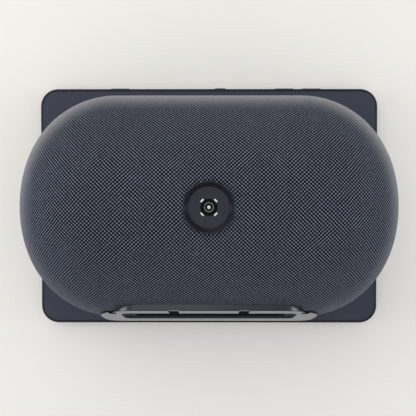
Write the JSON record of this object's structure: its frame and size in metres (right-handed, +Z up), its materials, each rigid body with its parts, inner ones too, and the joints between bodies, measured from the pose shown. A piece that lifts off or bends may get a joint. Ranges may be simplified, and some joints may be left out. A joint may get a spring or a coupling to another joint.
{
  "type": "smart display",
  "caption": "Touch screen panel leaning back on a fabric covered pill shaped speaker body, with a round power inlet in its back and a rubber ring foot.",
  "frame": {"origin": "on the table, under the middle of the whole object", "axes": "+X to the right as seen from the front, +Y to the back, away from the viewer, +Z up; the screen faces -Y"},
  "size_m": [0.1964, 0.1076, 0.1316],
  "materials": {
    "front_glass": "polished",
    "slate_plastic": "fine satin",
    "key_plastic": "fine satin",
    "gasket": "matt",
    "screen_layers": "dark polarised",
    "lamp_tray": "stamped",
    "black_plastic": "moulded",
    "lens_glass": "polished",
    "blackened_steel": "matt black",
    "circuit_board": "solder mask",
    "steel": "plated",
    "knit_fabric": "open charcoal knit",
    "shell_plastic": "moulded",
    "aluminium": "extruded",
    "antenna_foil": "plated",
    "ribbon": "polyimide film",
    "speaker_steel": "black coated",
    "magnet": "ground ferrite",
    "cone_paper": "pressed paper",
    "surround_rubber": "matt",
    "radiator_plate": "weighted plate",
    "satin_plastic": "satin",
    "nickel": "plated",
    "foot_rubber": "matt, moulded"
  },
  "bodies": {
    "housing": {"backlight_tray": "lamp_tray", "base_bridge": "shell_plastic", "base_plate": "satin_plastic", "base_screws": "steel", "board_screws": "steel", "body_shell": "shell_plastic", "button_boards": "circuit_board", "camera_lens": "lens_glass", "camera_module": "black_plastic", "chassis_plate": "shell_plastic", "cover_glass": "front_glass", "display_frame": "slate_plastic", "display_ribbon": "ribbon", "display_tray": "slate_plastic", "fabric_cover": "knit_fabric", "foot_pad": "foot_rubber", "glass_gasket": "gasket", "head_screws": "steel", "heat_sink": "aluminium", "inlet_cup": "satin_plastic", "jack_board": "circuit_board", "jack_clips": "steel", "jack_housing": "black_plastic", "jack_pin": "nickel", "jack_sleeve": "nickel", "lcd_panel": "screen_layers", "left_magnet": "magnet", "left_speaker_baffle": "shell_plastic", "left_speaker_frame": "speaker_steel", "light_sensor": "black_plastic", "main_board": "circuit_board", "microphones": "black_plastic", "radiator_baffle": "shell_plastic", "radiator_frame": "speaker_steel", "right_magnet": "magnet", "right_speaker_baffle": "shell_plastic", "right_speaker_frame": "speaker_steel", "shield_can": "steel", "tact_switches": "black_plastic", "wireless_antennas": "antenna_foil"},
    "volume_down": {"volume_down_button": "key_plastic"},
    "volume_up": {"volume_up_button": "key_plastic"},
    "mute": {"mute_button": "key_plastic"},
    "shutter": {"shutter_blade": "blackened_steel", "shutter_knob": "key_plastic"},
    "left_diaphragm": {"left_cone": "cone_paper", "left_dust_cap": "cone_paper", "left_surround": "surround_rubber"},
    "right_diaphragm": {"right_cone": "cone_paper", "right_dust_cap": "cone_paper", "right_surround": "surround_rubber"},
    "radiator_diaphragm": {"radiator_plate": "radiator_plate", "radiator_surround": "surround_rubber"}
  },
  "joints": [
    {"name": "volume_down_press", "type": "slide", "parent": "housing", "child": "volume_down", "axis": [0, -0.3535, -0.9354], "range_m": [0, 0.0003], "stiffness_N_per_m": 1500},
    {"name": "volume_up_press", "type": "slide", "parent": "housing", "child": "volume_up", "axis": [0, -0.3535, -0.9354], "range_m": [0, 0.0003], "stiffness_N_per_m": 1500},
    {"name": "mute_press", "type": "slide", "parent": "housing", "child": "mute", "axis": [0, -0.3535, -0.9354], "range_m": [0, 0.0003], "stiffness_N_per_m": 1500},
    {"name": "shutter_slide", "type": "slide", "parent": "housing", "child": "shutter", "axis": [1, 0, 0], "range_m": [0, 0.006]},
    {"name": "left_cone_travel", "type": "slide", "parent": "housing", "child": "left_diaphragm", "axis": [-1, 0, 0], "range_m": [-0.002, 0.002], "stiffness_N_per_m": 1500, "deforming": ["left_surround"]},
    {"name": "right_cone_travel", "type": "slide", "parent": "housing", "child": "right_diaphragm", "axis": [1, 0, 0], "range_m": [-0.002, 0.002], "stiffness_N_per_m": 1500, "deforming": ["right_surround"]},
    {"name": "radiator_travel", "type": "slide", "parent": "housing", "child": "radiator_diaphragm", "axis": [0, 0.3535, 0.9354], "range_m": [-0.0025, 0.0025], "stiffness_N_per_m": 3000, "deforming": ["radiator_surround"]}
  ]
}
